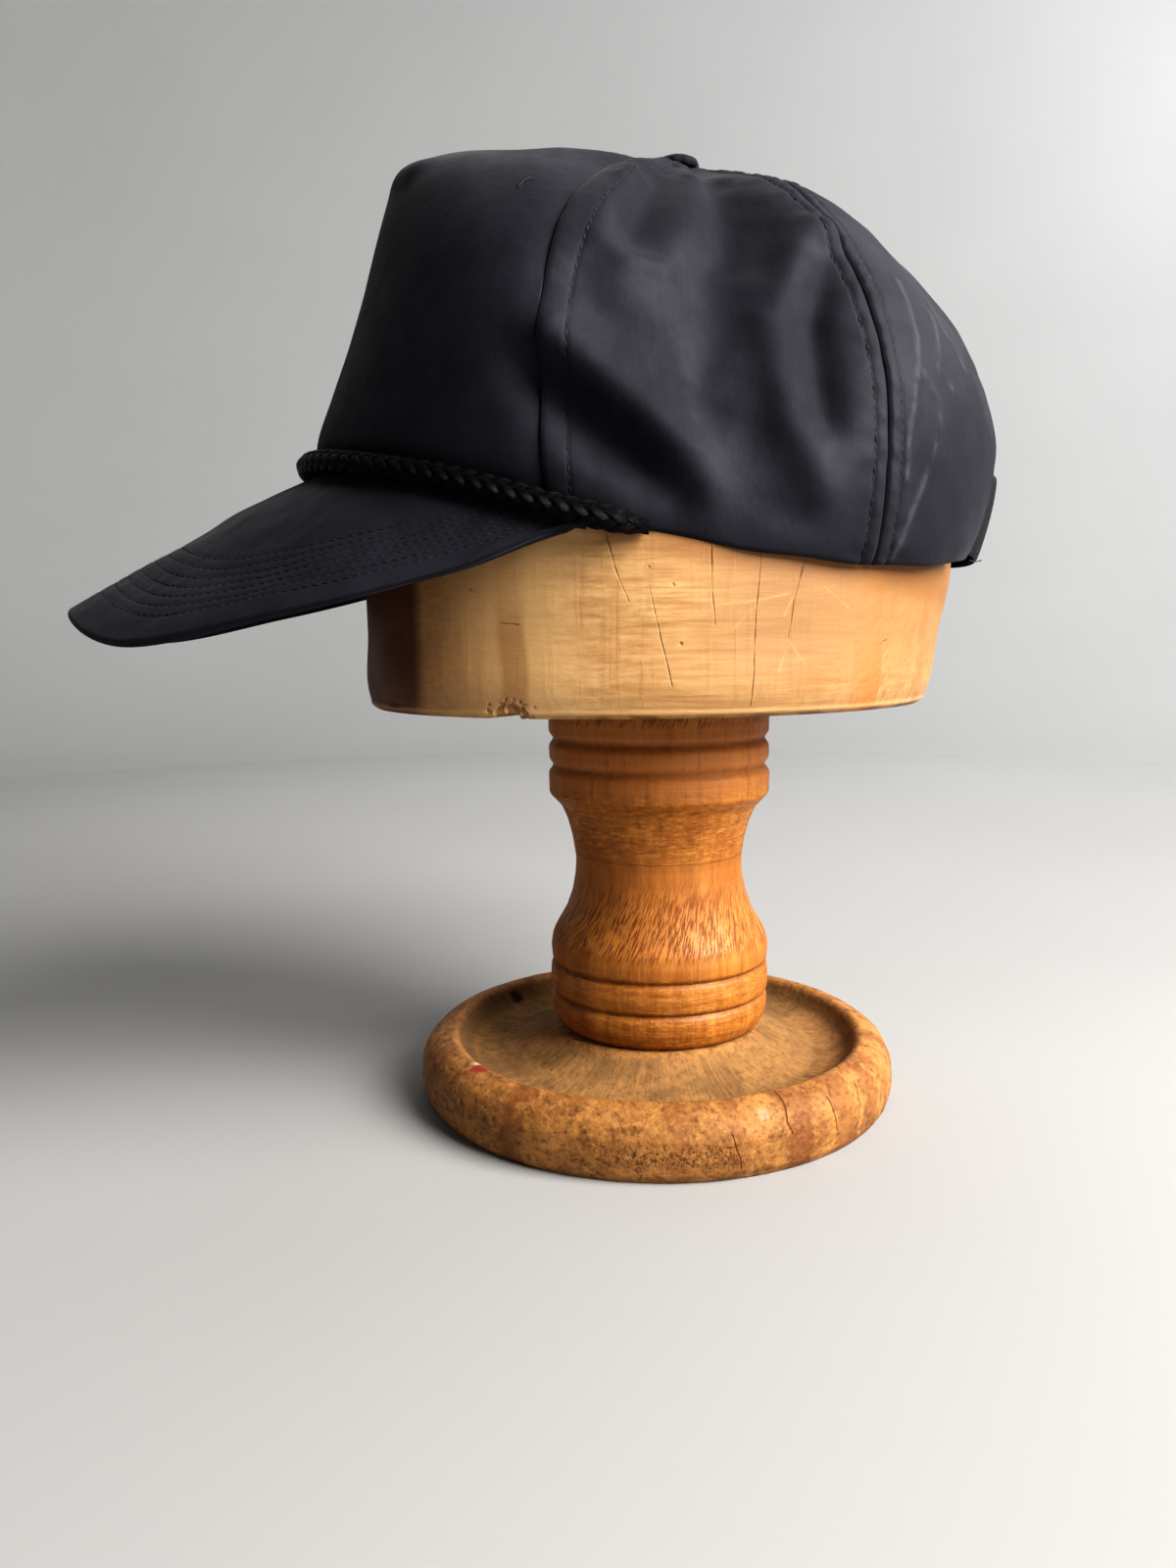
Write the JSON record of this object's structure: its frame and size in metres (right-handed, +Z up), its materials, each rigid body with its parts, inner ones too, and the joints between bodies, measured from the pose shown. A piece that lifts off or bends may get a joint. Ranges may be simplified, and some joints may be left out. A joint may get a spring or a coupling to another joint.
{
  "type": "trucker cap on a wooden hat stand",
  "caption": "Black cloth cap with a tall smooth front, braided cord, arched stitched peak and strap-closed back, resting on a turned wooden hat block stand.",
  "frame": {"origin": "centre of the flat underside of the stand's round base", "axes": "+Z up along the stand's turned column, -Y toward the tip of the peak, +X toward the wearer's left"},
  "size_m": [0.1767, 0.2997, 0.312],
  "materials": {
    "cap_cloth": "matte twill",
    "cord": "braided, slightly glossy",
    "strap": "matte",
    "block_wood": "worn satin",
    "column_wood": "worn satin",
    "base_wood": "worn satin"
  },
  "bodies": {
    "root": {"front_panel": "cap_cloth", "side_panel_left": "cap_cloth", "side_panel_right": "cap_cloth", "back_panel_left": "cap_cloth", "back_panel_right": "cap_cloth", "top_button": "cap_cloth", "peak": "cap_cloth", "front_cord": "cord", "back_strap": "strap", "hat_block": "block_wood", "stand_column": "column_wood", "stand_base": "base_wood"}
  },
  "joints": []
}
